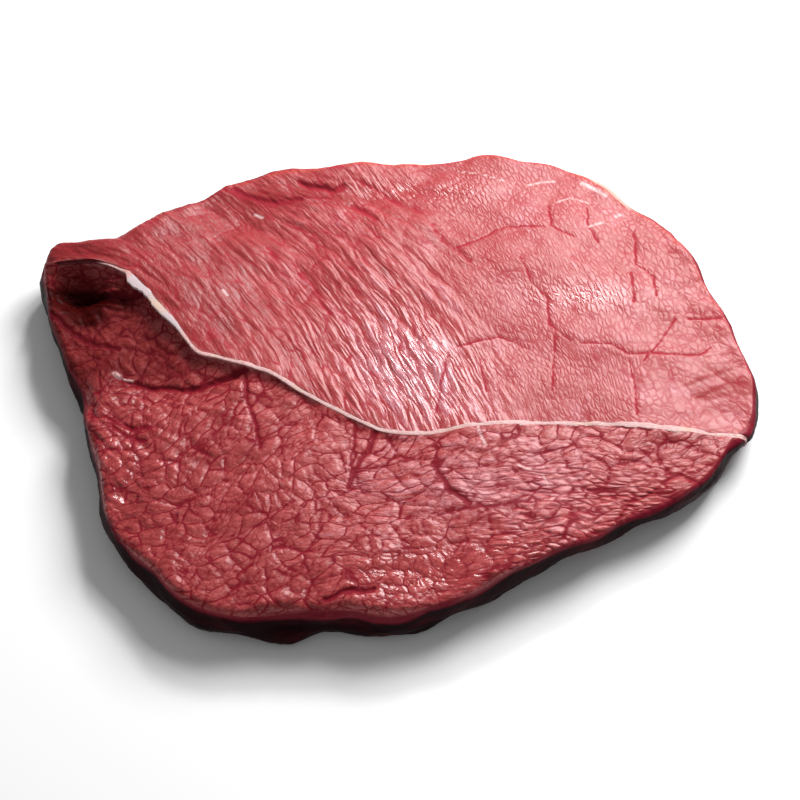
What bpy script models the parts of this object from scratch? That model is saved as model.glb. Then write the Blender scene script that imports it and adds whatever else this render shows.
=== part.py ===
"""One raw beef slice, cut straight across two muscles that meet at a seam of white connective tissue.

The slice lies flat on its lower cut face. The far muscle stands proud of the near one along the left half of the
seam, and curls into a lobe over a pocket at the left tip. All lengths are in metres, +Z is up, +X runs along the
slice towards its blunt end, and the origin is under the middle of the slice.
"""

import math

import bmesh
import bpy
import numpy as np

# The slice as a whole
THICKNESS = 0.0185
RIM_ROUNDING = 0.0022
FOOT_ROUNDING = 0.0030
WALL_BULGE = 0.0012
FOOT_OUTSET = 0.0006

# The edge of the upper cut face, seen from above, anticlockwise from the blunt right end
RIM = (
    (0.1207, -0.0030), (0.1130, 0.0300), (0.0995, 0.0640), (0.0815, 0.0832), (0.0630, 0.0964),
    (0.0415, 0.1012), (0.0320, 0.1022), (0.0230, 0.1008), (-0.0180, 0.0982), (-0.0545, 0.0924),
    (-0.0650, 0.0870), (-0.0805, 0.0748), (-0.0940, 0.0660), (-0.1005, 0.0606), (-0.1120, 0.0600),
    (-0.1210, 0.0584), (-0.1243, 0.0510), (-0.1195, 0.0275), (-0.1110, 0.0065), (-0.1035, -0.0150),
    (-0.0980, -0.0345), (-0.0955, -0.0480), (-0.0855, -0.0605), (-0.0765, -0.0702), (-0.0665, -0.0785),
    (-0.0530, -0.0822), (-0.0440, -0.0824), (-0.0310, -0.0800), (-0.0170, -0.0802), (-0.0060, -0.0826),
    (0.0060, -0.0822), (0.0195, -0.0768), (0.0480, -0.0625), (0.0760, -0.0492), (0.0980, -0.0362),
    (0.1090, -0.0242), (0.1170, -0.0150),
)  # fmt: skip

# The seam between the two muscles, seen from above, from the lobe to the blunt end
SEAM = (
    (-0.1250, 0.0530), (-0.1030, 0.0510), (-0.0930, 0.0460), (-0.0860, 0.0370), (-0.0740, 0.0200),
    (-0.0690, 0.0130), (-0.0610, 0.0100), (-0.0430, 0.0040), (-0.0330, -0.0020), (-0.0210, -0.0090),
    (-0.0080, -0.0160), (0.0040, -0.0180), (0.0260, -0.0150), (0.0580, -0.0130), (0.0900, -0.0150),
    (0.1200, -0.0175),
)  # fmt: skip

# How far the far muscle stands above the near one, by the place along +X, and how wide the step is
STEP_PLACES = (-0.125, -0.108, -0.090, -0.072, -0.045, -0.015, 0.010, 0.125)
STEP_HEIGHTS = (0.0014, 0.0032, 0.0046, 0.0036, 0.0022, 0.0010, 0.0, 0.0)
STEP_RUN = 0.0020
STEP_FADE = 0.034

# The fold in the near muscle, from below the lobe to the seam
FOLD = (
    (-0.1000, 0.0090), (-0.0900, 0.0040), (-0.0820, 0.0010), (-0.0700, 0.0000), (-0.0590, 0.0028),
    (-0.0500, 0.0060),
)  # fmt: skip
FOLD_DEPTH = 0.0020
FOLD_WIDTH = 0.0030

# The cut face falls towards the blunt end and the far edge
END_FALL = 0.0030
END_FALL_FROM = 0.020
FAR_FALL = 0.0026
FAR_FALL_FROM = 0.045

# Slow waves of the upper face: length, direction in degrees, height and phase
WAVES = ((0.062, 24, 0.00055, 0.4), (0.037, -41, 0.00040, 2.1), (0.024, 73, 0.00025, 4.0))

# Mounds and hollows of the upper face: middle (x, y), reach (x, y), turn in degrees and height
FACE_FORMS = (
    ((-0.1085, 0.0560), (0.0130, 0.0060), -8, 0.0022),
    ((-0.1130, 0.0425), (0.0080, 0.0065), 60, -0.0078),
    ((-0.1080, 0.0245), (0.0060, 0.0040), -35, -0.0022),
    ((-0.1075, -0.0030), (0.0050, 0.0085), 12, -0.0062),
    ((-0.0840, 0.0170), (0.0150, 0.0085), -40, -0.0022),
    ((-0.0860, -0.0200), (0.0200, 0.0120), -25, 0.0010),
    ((-0.0900, -0.0540), (0.0120, 0.0110), -45, -0.0022),
    ((-0.0260, -0.0755), (0.0100, 0.0035), -12, -0.0020),
    ((0.0150, 0.0550), (0.0420, 0.0220), -25, 0.0012),
    ((-0.0550, 0.0690), (0.0200, 0.0060), -28, -0.0014),
    ((-0.0250, 0.0840), (0.0260, 0.0042), -6, -0.0015),
    ((0.1080, -0.0080), (0.0120, 0.0160), 20, -0.0014),
)  # fmt: skip

# The cut muscle bundles stand up as low cobbles between creases, longer along the slice than across it
COBBLE_LENGTH = 0.0150
COBBLE_WIDTH = 0.0105
COBBLE_DEPTH = 0.0007
COBBLE_TURN = -14
COBBLE_SEED = 11
COBBLE_DRAWS = 64

# Bulges of the side wall: middle (x, y), reach along the wall, share of its height, reach there and depth
WALL_FORMS = (
    ((-0.0270, -0.0800), 0.0110, 0.80, 0.22, 0.0030),
    ((-0.0330, -0.0805), 0.0105, 0.14, 0.28, 0.0068),
    ((-0.0120, -0.0815), 0.0090, 0.10, 0.34, 0.0022),
    ((-0.0880, -0.0580), 0.0100, 0.20, 0.34, 0.0008),
    ((-0.0580, -0.0810), 0.0160, 0.15, 0.45, 0.0016),
    ((-0.1130, 0.0100), 0.0300, 0.10, 0.55, -0.0012),
    ((-0.0970, -0.0330), 0.0130, 0.20, 0.45, -0.0004),
    ((0.0700, -0.0500), 0.0440, 0.00, 0.55, -0.0036),
    ((0.1170, -0.0160), 0.0120, 0.00, 0.60, -0.0034),
    ((0.0300, 0.0990), 0.0300, 0.35, 0.40, 0.0020),
    ((-0.0700, 0.0800), 0.0160, 0.30, 0.40, -0.0016),
)  # fmt: skip
RIPPLE_DEPTH = 0.0005
RIPPLES = (17, 29)

# How finely the solid is divided
COLUMNS = 62
NEAR_ROWS = 17
FAR_ROWS = 26
EDGE_STEPS = 3
WALL_STEPS = 3
CURVE_POINTS = 1440
EVENING_PASSES = 150

BEEF_RED = (0.42, 0.055, 0.050, 1.0)
BEEF_ROUGHNESS = 0.38


def hermite(t, start, start_slope, end, end_slope):
    """The smooth cubic from start to end as t goes from 0 to 1."""
    rise = t * t * (3 - 2 * t)
    return start * (1 - rise) + end * rise + start_slope * t * (1 - t) ** 2 - end_slope * t * t * (1 - t)


def spaced(path, count):
    """count places at equal steps along a path, both ends included."""
    along = np.concatenate([[0], np.cumsum(np.linalg.norm(np.diff(path, axis=0), axis=1))])
    places = np.linspace(0, along[-1], count)
    return np.column_stack([np.interp(places, along, path[:, i]) for i in (0, 1)])


def closed_curve(points, count):
    """A smooth closed curve through the points, as count places at equal steps along it."""
    corners = np.array(points)
    ahead, behind = np.roll(corners, -1, 0), np.roll(corners, 1, 0)
    reach = np.linalg.norm(ahead - corners, axis=1, keepdims=True)
    reach_behind = np.roll(reach, 1, 0)
    # The slope at a point weighs the nearer neighbour more, so that close points make no loop
    slope = (ahead - corners) / reach * reach_behind + (corners - behind) / reach_behind * reach
    slope /= reach + reach_behind
    t = np.linspace(0, 1, 40, endpoint=False)[:, None, None]
    path = hermite(t, corners, slope * reach, ahead, np.roll(slope, -1, 0) * reach)
    path = path.transpose(1, 0, 2).reshape(-1, 2)
    return spaced(np.vstack([path, path[:1]]), count + 1)[:-1]


def line_at(x, points):
    """The height and the slope at x of a smooth line through points that go from low x to high x."""
    xs, ys = np.array(points).T
    slopes = np.gradient(ys, xs)
    at = np.clip(np.searchsorted(xs, x) - 1, 0, len(xs) - 2)
    width = xs[at + 1] - xs[at]
    t = np.clip((x - xs[at]) / width, 0, 1)
    y = hermite(t, ys[at], slopes[at] * width, ys[at + 1], slopes[at + 1] * width)
    return y, slopes[at] * (1 - t) + slopes[at + 1] * t


def distance_above(x, y, points):
    """How far a place lies on the far side of a line, square to it."""
    line, slope = line_at(x, points)
    return (y - line) / np.hypot(1, slope)


def smooth_step(value, low, high):
    t = np.clip((value - low) / (high - low), 0, 1)
    return t * t * (3 - 2 * t)


def turned(x, y, degrees):
    """The place in axes that are turned by the given angle."""
    angle = math.radians(degrees)
    return x * math.cos(angle) + y * math.sin(angle), y * math.cos(angle) - x * math.sin(angle)


def mound(x, y, middle, reach, turn, height):
    """A rounded mound or hollow with an oval foot."""
    along, across = turned(x - middle[0], y - middle[1], turn)
    return height * np.exp(-((along / reach[0]) ** 2) - (across / reach[1]) ** 2)


def cobbles(x, y):
    """Low cobbles: 0 on their crowns and down to -COBBLE_DEPTH in the creases between them."""
    along, across = turned(x, y, COBBLE_TURN)
    along = along / COBBLE_LENGTH
    across = across / COBBLE_WIDTH
    draw = np.random.default_rng(COBBLE_SEED).uniform(0.12, 0.88, (COBBLE_DRAWS, COBBLE_DRAWS, 2))
    nearest = np.full(np.shape(x), 9.0)
    second = nearest.copy()
    for cell_along in range(-2, 3):
        for cell_across in range(-2, 3):
            cell = np.floor(along).astype(int) + cell_along, np.floor(across).astype(int) + cell_across
            shift = draw[cell[0] % COBBLE_DRAWS, cell[1] % COBBLE_DRAWS]
            gap = np.hypot(cell[0] + shift[..., 0] - along, cell[1] + shift[..., 1] - across)
            second = np.minimum(second, np.maximum(nearest, gap))
            nearest = np.minimum(nearest, gap)
    return -COBBLE_DEPTH * (1 - smooth_step(second - nearest, 0, 0.45))


def face_height(x, y):
    """The height of the upper cut face over a place."""
    height = THICKNESS - END_FALL * smooth_step(x, END_FALL_FROM, RIM[0][0])
    height = height - FAR_FALL * smooth_step(y, FAR_FALL_FROM, RIM[6][1])
    for length, direction, rise, phase in WAVES:
        height = height + rise * np.sin(turned(x, y, direction)[0] / length * 2 * math.pi + phase)
    above_seam = distance_above(x, y, SEAM)
    step = np.interp(x, STEP_PLACES, STEP_HEIGHTS)
    raised = smooth_step(above_seam, -STEP_RUN / 2, STEP_RUN / 2)
    height = height + step * raised * np.exp(-((np.maximum(above_seam, 0) / STEP_FADE) ** 2))
    in_fold = smooth_step(x, FOLD[0][0], FOLD[1][0]) * (1 - smooth_step(x, FOLD[-2][0], FOLD[-1][0]))
    height = height - FOLD_DEPTH * in_fold * np.exp(-((distance_above(x, y, FOLD) / FOLD_WIDTH) ** 2))
    for middle, reach, turn, rise in FACE_FORMS:
        height = height + mound(x, y, middle, reach, turn, rise)
    return height + cobbles(x, y)


def outward(curve):
    """The direction square to a closed anticlockwise curve, pointing out, evened along it."""
    run = np.roll(curve, -3, 0) - np.roll(curve, 3, 0)
    square = np.column_stack([run[:, 1], -run[:, 0]])
    square /= np.linalg.norm(square, axis=1, keepdims=True)
    evened = sum(np.roll(square, shift, 0) for shift in range(-14, 15))
    return evened / np.linalg.norm(evened, axis=1, keepdims=True)


def at_turn(curve, turn):
    """The place on a closed curve at a share of a turn, from 0 to 1."""
    shares = np.arange(len(curve) + 1) / len(curve)
    closed = np.vstack([curve, curve[:1]])
    return np.stack([np.interp(turn % 1, shares, closed[:, i]) for i in (0, 1)], axis=-1)


def nearest_turn(curve, place):
    return np.argmin(np.linalg.norm(curve - place, axis=1)) / len(curve)


def seam_path(offset):
    """The seam, moved sideways by offset, as a path from the lobe to the blunt end."""
    x = np.linspace(SEAM[0][0], SEAM[-1][0], 400)
    y, slope = line_at(x, SEAM)
    length = np.hypot(1, slope)
    return np.column_stack([x - slope / length * offset, y + offset / length])


def between(path, start, end):
    """A path that runs from start to end, and along the given path on the way."""
    first = np.argmin(np.linalg.norm(path - start, axis=1)) + 4
    last = np.argmin(np.linalg.norm(path - end, axis=1)) - 4
    return np.vstack([start, path[first:last], end])


def patch(seam_side, rim_side, left, right):
    """A grid that fills the space between four sides, with rows that go from the seam to the rim."""
    v = np.linspace(0, 1, len(left))[:, None, None]
    u = np.linspace(0, 1, len(seam_side))[None, :, None]
    corners = (1 - v) * ((1 - u) * left[0] + u * right[0]) + v * ((1 - u) * left[-1] + u * right[-1])
    grid = (1 - v) * seam_side + v * rim_side + (1 - u) * left[:, None] + u * right[:, None] - corners
    for _ in range(EVENING_PASSES):
        around = grid[:-2, 1:-1] + grid[2:, 1:-1] + grid[1:-1, :-2] + grid[1:-1, 2:]
        grid[1:-1, 1:-1] = around / 4
    return grid


def face_plan(inner):
    """The plan of the upper face as one grid, two rows of which follow the foot and the top of the seam's step.

    It also gives each border place's share of a turn round the rim, anticlockwise from the lowest left corner.
    """
    foot, top = seam_path(-STEP_RUN / 2), seam_path(STEP_RUN / 2)
    right_foot, right_top = nearest_turn(inner, foot[-1]), nearest_turn(inner, top[-1])
    left_top, left_foot = nearest_turn(inner, top[0]), nearest_turn(inner, foot[0])
    far = np.linspace(right_top, left_top + (left_top < right_top), COLUMNS + 2 * FAR_ROWS + 1)
    near = np.linspace(left_foot, right_foot + (right_foot < left_foot), COLUMNS + 2 * NEAR_ROWS + 1)
    far_rim, near_rim = at_turn(inner, far), at_turn(inner, near)
    far_patch = patch(
        spaced(between(top, far_rim[-1], far_rim[0]), COLUMNS + 1),
        far_rim[FAR_ROWS : FAR_ROWS + COLUMNS + 1][::-1],
        far_rim[FAR_ROWS + COLUMNS :][::-1],
        far_rim[: FAR_ROWS + 1],
    )
    near_patch = patch(
        spaced(between(foot, near_rim[0], near_rim[-1]), COLUMNS + 1),
        near_rim[NEAR_ROWS : NEAR_ROWS + COLUMNS + 1],
        near_rim[: NEAR_ROWS + 1],
        near_rim[NEAR_ROWS + COLUMNS :][::-1],
    )
    turns = np.concatenate([near[NEAR_ROWS:], far, near[:NEAR_ROWS]])
    return np.vstack([near_patch[::-1], far_patch]), turns


def border_places(rows, columns):
    """The grid places along a grid's border, once round, anticlockwise from its lowest left corner."""
    low = [(0, c) for c in range(columns)]
    right = [(r, columns) for r in range(rows)]
    high = [(rows, c) for c in range(columns, 0, -1)]
    left = [(r, 0) for r in range(rows, 0, -1)]
    return low + right + high + left


def wall_push(places, turns, share):
    """How far the side wall stands out from the rim at a share of its height."""
    push = np.full(len(places), WALL_BULGE * math.sin(math.pi * share) + FOOT_OUTSET * (1 - share))
    for number, ripple in enumerate(RIPPLES):
        push += RIPPLE_DEPTH * np.sin(ripple * turns * 2 * math.pi + 2 * number + 3 * share)
    for middle, reach, level, level_reach, depth in WALL_FORMS:
        near = np.linalg.norm(places - np.array(middle), axis=1) / reach
        push += depth * np.exp(-(near**2) - ((share - level) / level_reach) ** 2)
    return push[:, None]


def wall_rows(rim, square, turns, face):
    """Rows of places from just below the upper face's border, down the wall, to the lower face's border."""
    rows = []
    top = face - RIM_ROUNDING
    for step in range(1, EDGE_STEPS + 1):
        angle = math.pi / 2 * step / EDGE_STEPS
        out = wall_push(rim, turns, 1) * math.sin(angle) - RIM_ROUNDING * (1 - math.sin(angle))
        rows.append((rim + square * out, top + RIM_ROUNDING * math.cos(angle)))
    for step in range(1, WALL_STEPS + 1):
        share = 1 - step / (WALL_STEPS + 1)
        out = wall_push(rim, turns, share)
        rows.append((rim + square * out, FOOT_ROUNDING + (top - FOOT_ROUNDING) * share))
    for step in range(EDGE_STEPS + 1):
        angle = math.pi / 2 * step / EDGE_STEPS
        out = wall_push(rim, turns, 0) - FOOT_ROUNDING * (1 - math.cos(angle))
        rows.append((rim + square * out, np.full(len(rim), FOOT_ROUNDING * (1 - math.sin(angle)))))
    return [np.column_stack(row) for row in rows]


def slice_shape():
    """The grid of places over the upper cut face, its border, and the rows of places down the wall."""
    curve = closed_curve(RIM, CURVE_POINTS)
    square = outward(curve)
    plan, turns = face_plan(curve - square * RIM_ROUNDING)
    face = np.dstack([plan, face_height(plan[..., 0], plan[..., 1])])
    border = border_places(face.shape[0] - 1, face.shape[1] - 1)
    border_height = np.array([face[place][2] for place in border])
    rows = wall_rows(at_turn(curve, turns), at_turn(square, turns), turns, border_height)
    corners = np.vstack(rows)[:, :2]
    middle = np.array([*(corners.min(axis=0) + corners.max(axis=0)) / 2, 0])
    return face - middle, border, [row - middle for row in rows]


def slice_mesh():
    """The slice as one closed mesh."""
    face, border, rows = slice_shape()
    mesh = bmesh.new()
    grid = [[mesh.verts.new(place) for place in line] for line in face]
    for here, ahead in zip(grid, grid[1:]):
        for c in range(len(here) - 1):
            mesh.faces.new((here[c], here[c + 1], ahead[c + 1], ahead[c]))
    upper = [grid[r][c] for r, c in border]
    for row in rows:
        lower = [mesh.verts.new(place) for place in row]
        for i in range(len(border)):
            j = (i + 1) % len(border)
            mesh.faces.new((upper[j], upper[i], lower[i], lower[j]))
        upper = lower
    base = mesh.faces.new(upper[::-1])
    bmesh.ops.triangulate(mesh, faces=[base])
    return mesh


def beef_material():
    material = bpy.data.materials.new("raw_beef")
    material.use_nodes = True
    shader = material.node_tree.nodes["Principled BSDF"]
    shader.inputs["Base Color"].default_value = BEEF_RED
    shader.inputs["Roughness"].default_value = BEEF_ROUGHNESS
    shader.inputs["Metallic"].default_value = 0.0
    return material


def main():
    for obj in list(bpy.data.objects):
        bpy.data.objects.remove(obj)
    mesh = slice_mesh()
    data = bpy.data.meshes.new("beef_slice")
    mesh.to_mesh(data)
    mesh.free()
    data.materials.append(beef_material())
    data.shade_smooth()
    beef_slice = bpy.data.objects.new("beef_slice", data)
    bpy.context.scene.collection.objects.link(beef_slice)


main()
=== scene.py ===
import math

import bpy
import numpy as np
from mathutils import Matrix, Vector
from mathutils.bvhtree import BVHTree


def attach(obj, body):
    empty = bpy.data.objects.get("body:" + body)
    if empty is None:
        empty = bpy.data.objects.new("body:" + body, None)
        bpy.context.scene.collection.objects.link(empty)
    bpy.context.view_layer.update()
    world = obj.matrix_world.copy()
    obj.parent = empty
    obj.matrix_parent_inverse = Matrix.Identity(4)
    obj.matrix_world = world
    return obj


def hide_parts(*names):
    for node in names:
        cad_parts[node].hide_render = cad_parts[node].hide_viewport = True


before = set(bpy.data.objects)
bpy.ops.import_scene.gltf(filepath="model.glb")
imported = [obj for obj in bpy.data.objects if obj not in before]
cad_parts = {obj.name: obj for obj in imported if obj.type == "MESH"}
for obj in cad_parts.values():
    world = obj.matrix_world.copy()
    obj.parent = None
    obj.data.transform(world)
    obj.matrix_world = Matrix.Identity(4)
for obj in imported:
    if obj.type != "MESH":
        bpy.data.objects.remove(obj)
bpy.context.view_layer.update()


# The camera
# It looks down on the cut face from in front of the slice, as one looks at meat on a table. Here and below,
# sizes are in millimetres, and places on the cut face are measured from ZERO, near its middle.
MM = 0.001
ZERO = np.array([2.46, -8.91])
LENS = 85
ELEVATION = math.radians(58)
CAMERA_DISTANCE = 640
LOOK_AT = (*ZERO, 10.0)

lens = bpy.data.cameras.new("camera")
lens.lens = LENS
camera = bpy.data.objects.new("camera", lens)
looking = Vector((0, math.cos(ELEVATION), -math.sin(ELEVATION)))
camera.location = (Vector(LOOK_AT) - looking * CAMERA_DISTANCE) * MM
camera.rotation_euler = looking.to_track_quat("-Z", "Y").to_euler()
bpy.context.scene.collection.objects.link(camera)
bpy.context.scene.camera = camera


# The far muscle
# The slice is cut across two muscles. This is the larger one, behind the seam: pale wet flesh, whose fibres
# lie aslant on the left and are cut square on the right. Its bundles part in creases, and a thin dark skin
# closes its outside. Both are darker partly in their own colour and partly as painted shade, the skin nearly
# black. It follows the surface of the plain slice, with all the finer relief on top.
HALF_HEIGHT = 9.0
OUTLINE_POINTS = 1440
EVENED_OVER = 10
SQUARED_OVER = 18
# How far inside the outline the muscles' plans end, and the steps of the rows out to the rim and down the
# wall, with the last rows under the slice
WALL_REACH = 5.0
RIM_STEP = 0.7
WALL_STEP = 0.72
UNDER_ROWS = 3.6, 2.0, 0
RIM_ROW = 6
# The drop below the rim is this for places off the wall, and above WALL_DROPS for the wall's own
OFF_WALL = -9.0
WALL_DROPS = -5.0
# Rounds of evening out for a plan's grid, coarse and fine, for the heights of a face, and for a whole shell
PLAN_PASSES = 200
FINE_PLAN_PASSES = 12
HEIGHT_PASSES = 40
SMOOTHING_PASSES = 9

# The seam between the muscles, seen from above
SEAM = (
    (-125.0, 50.0), (-103.0, 48.0), (-93.0, 43.3), (-86.0, 35.5), (-74.0, 20.0), (-69.0, 13.0), (-61.0, 10.0),
    (-43.0, 4.0), (-33.0, -2.0), (-21.0, -9.0), (-8.0, -16.0), (4.0, -18.0), (26.0, -15.0), (58.0, -13.0),
    (90.0, -15.0), (120.0, -17.5),
)
SEAM_HALF_WIDTH = 0.6
# The ways out of the slice at the seam's left and right end, and how far from the end they hold
END_WAYS = (-1.0, 0.09), (1.0, -0.08)
END_REACH = 7
# Heights are taken this far from the seam, and so much further at the lobe, where the step is wide
SEAM_STEP_REACH = 1.5
LOBE_REACH = 2.8
LOBE_STARTS = 84, 94
# How much of the white membrane shows between the two cut faces, by the place along the seam
BAND_PLACES = (-125, -108, -101, -95, -88, -78, -73, -68, -58, -30, 0, 30, 120)
BAND_HEIGHTS = (0.2, 0.2, 0.4, 0.7, 0.9, 0.9, 0.7, 0.4, 0.15, 0.05, 0.0, 0.0, 0.0)
# How far from the seam the near muscle rises to meet the membrane
RISE_REACH = 1.8

# Which way the fibres lie on the cut face: place and angle from +X in degrees
FAR_GRAIN = (
    (-109, 55, -12), (-81, 53, -45), (-60, 36, -55), (-68, 23, -50), (-50, 66, -43), (-34, 15, -62),
    (-24, 36, -55), (-7, 7, -69), (13, -1, -75), (-18, 70, -37), (11, 57, -40), (14, 23, -55), (-36, 84, -14),
    (18, 84, -9), (43, 70, -18), (45, 27, -45), (54, -1, -64), (84, 53, 2), (103, 27, 9), (68, 23, -29),
    (97, -1, 23),
)
GRAIN_REACH = 16.0

# The long creases that part the far muscle's bundles towards its blunt end
FAR_CREASES = (
    ((20, 58), (28, 62), (37, 68), (52, 68)),
    ((53, 78), (54, 68), (62, 64)),
    ((42, 54), (46, 43), (51, 36), (51, 26), (58, 19)),
    ((53, 21), (52, 10), (51, -1)),
    ((81, 49), (81, 36)),
    ((95, 30), (89, 20), (83, 12)),
    ((78, 12), (79, 2), (79, -10)),
    ((62, 18), (72, 18), (78, 14), (85, 15)),
    ((83, 67), (83, 53), (89, 47), (89, 39)),
    ((84, 15), (102, 15), (106, 18)),
    ((100, 30), (111, 30)),
    ((67, 78), (67, 69), (70, 62)),
    ((16, 12), (14, 2), (12, -10)),
    ((27, 12), (29, -2)),
    ((19, 16), (34, 21), (44, 16)),
)
# Folds: the line, how wide and how deep; the depth also sets the shade painted in them
FAR_FOLDS = (
    (((-60, 85.5), (-56, 83.6), (-49, 81), (-42, 80), (-36, 81)), 1.3, 0.8),
    (((-36, 89.5), (-29.5, 86.5), (-24.4, 85), (-20, 87)), 1.1, 0.7),
    (((-34.4, 82.4), (-29.4, 80.6), (-25, 81)), 0.8, 0.4),
    (((-17, 78), (-13, 75), (-9, 70.7)), 0.9, 0.5),
    (((-14.4, 88.8), (-8, 86), (-1.4, 80.6), (7, 74.3)), 0.9, 0.35),
    (((-35, 46.7), (-28.4, 37.8), (-24, 30)), 0.9, 0.35),
    (((-46.4, 57.5), (-38.3, 44.5)), 0.9, 0.3),
    (((11, 68.5), (17, 59.7), (24.5, 52)), 0.8, 0.3),
)
# White marks of fat and membrane on both muscles: their line, width and how far they stand up
FAT_MARKS = (
    (((-96.0, 5.7), (-94.8, 5.0)), 1.7, 0.45),
    (((-93.0, 4.2), (-90.0, 3.6)), 0.6, 0.1),
    (((25.8, -16.0), (26.6, -19.5), (28.2, -23.0)), 0.8, 0.1),
    (((38.6, -30.0), (43.0, -31.5)), 0.5, 0.05),
    (((46.5, -33.0), (48.2, -37.6)), 0.5, 0.05),
    (((21, 94), (30, 92.3), (38, 89)), 0.45, 0.05),
    (((46, 87.7), (51, 89.5), (56, 90.3)), 0.8, 0.05),
    (((56, 79.7), (61, 82), (68, 80.2)), 0.6, 0.05),
    (((67.4, 69), (72.5, 71.4)), 0.8, 0.05),
    (((77.3, 74.7), (78.8, 75.6)), 1.1, 0.1),
    (((66, 89.5), (70.5, 87), (74, 84)), 1.5, 0.1),
    (((-51.7, 74.3), (-49, 72.5)), 1.0, 0.05),
    (((-61, 38), (-59.4, 36)), 0.9, 0.05),
)
# Soft spots on the face: the middle, the reach each way and the turn in degrees. The glare spots are wetter,
# the first is also painted paler as sheen, and the spot by the far rim on the left is painted shade.
FAR_GLARE = (5, 6, 28, 20, -50)
RIM_GLARE = (6, 84, 28, 6)
BLUNT_GLARE = (64, 38, 20, 6)
RIGHT_END = (104, 4, 13, 13)
RIM_SHADE = (-43, 82, 24, 5)
# Here the dark skin colour, partly painted shade, starts lower on the wall, so that purple flesh shows under
# the rim
BARE_RIM = (-14, -82, 20, 12)


def hermite(t, start, start_slope, end, end_slope):
    """The smooth cubic from start to end as t goes from 0 to 1."""
    rise = t * t * (3 - 2 * t)
    return start * (1 - rise) + end * rise + start_slope * t * (1 - t) ** 2 - end_slope * t * t * (1 - t)


def smooth_step(value, low, high):
    t = np.clip((value - low) / (high - low), 0, 1)
    return t * t * (3 - 2 * t)


def spaced(path, count):
    """count places at equal steps along a path, both ends included."""
    along = np.concatenate([[0], np.cumsum(np.linalg.norm(np.diff(path, axis=0), axis=1))])
    places = np.linspace(0, along[-1], count)
    return np.column_stack([np.interp(places, along, path[:, i]) for i in (0, 1)])


def seam_at(x):
    """The seam's y and slope at x, both measured from ZERO."""
    xs, ys = np.array(SEAM).T
    slopes = np.gradient(ys, xs)
    at = np.clip(np.searchsorted(xs, x) - 1, 0, len(xs) - 2)
    width = xs[at + 1] - xs[at]
    t = np.clip((x - xs[at]) / width, 0, 1)
    y = hermite(t, ys[at], slopes[at] * width, ys[at + 1], slopes[at + 1] * width)
    return y, slopes[at] * (1 - t) + slopes[at + 1] * t


def from_seam(x, y):
    """How far a place lies beyond the seam, and the x at which the seam is nearest to it."""
    line, slope = seam_at(x)
    away = (y - line) / np.hypot(1, slope)
    return away, x + away * slope / np.hypot(1, slope)


def seam_path(offset):
    """The seam, moved sideways by offset, in the slice's own frame."""
    x = np.linspace(SEAM[0][0] - 3, SEAM[-1][0] + 3, 500)
    y, slope = seam_at(x)
    length = np.hypot(1, slope)
    return np.column_stack([x - slope / length * offset, y + offset / length]) + ZERO


def ring_mean(values, reach):
    """Each value of a ring averaged with its neighbours."""
    return sum(np.roll(values, shift, 0) for shift in range(-reach, reach + 1)) / (2 * reach + 1)


def slice_outline():
    """The outline half way up the side wall, and the direction out of it, as rings of places."""
    turns = np.linspace(0, 2 * math.pi, OUTLINE_POINTS, endpoint=False)
    middle = (0, 0, HALF_HEIGHT)
    ring = np.array([skin.ray_cast(middle, (math.cos(t), math.sin(t), 0))[0][:2] for t in turns])
    ring = ring_mean(spaced(np.vstack([ring, ring[:1]]), OUTLINE_POINTS + 1)[:-1], EVENED_OVER)
    run = np.roll(ring, -3, 0) - np.roll(ring, 3, 0)
    square = ring_mean(np.column_stack([run[:, 1], -run[:, 0]]), SQUARED_OVER)
    return ring, square / np.linalg.norm(square, axis=1, keepdims=True)


def at_turn(ring, turn):
    """The place on a ring at a share of a turn, from 0 to 1."""
    shares = np.arange(len(ring) + 1) / len(ring)
    closed = np.vstack([ring, ring[:1]])
    return np.stack([np.interp(turn % 1, shares, closed[:, i]) for i in (0, 1)], axis=-1)


def evened_grid(grid, passes):
    """A grid of places with its inner ones evened out between their neighbours."""
    for _ in range(passes):
        around = grid[:-2, 1:-1] + grid[2:, 1:-1] + grid[1:-1, :-2] + grid[1:-1, 2:]
        grid[1:-1, 1:-1] = around / 4
    return grid


def patch(seam_side, rim_side, left, right):
    """A grid that fills the space between four sides, with rows that go from the seam to the rim."""
    v = np.linspace(0, 1, len(left))[:, None, None]
    u = np.linspace(0, 1, len(seam_side))[None, :, None]
    corners = (1 - v) * ((1 - u) * left[0] + u * right[0]) + v * ((1 - u) * left[-1] + u * right[-1])
    return (1 - v) * seam_side + v * rim_side + (1 - u) * left[:, None] + u * right[:, None] - corners


def refined(grid, times):
    """A grid divided finer, by whole times each way."""
    for axis in (0, 1):
        count = grid.shape[axis]
        at = np.linspace(0, count - 1, (count - 1) * times + 1)
        low = np.minimum(at.astype(int), count - 2)
        share = (at - low).reshape((-1, 1, 1) if axis == 0 else (1, -1, 1))
        grid = np.take(grid, low, axis) * (1 - share) + np.take(grid, low + 1, axis) * share
    return grid


def end_turn(path, right):
    """The turn at which the spine crosses the seam, at its right or its left end."""
    gaps = np.linalg.norm(spine[:, None] - path, axis=2).min(axis=1)
    gaps[(spine[:, 0] > 0) != right] = np.inf
    return np.argmin(gaps) / len(spine)


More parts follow.
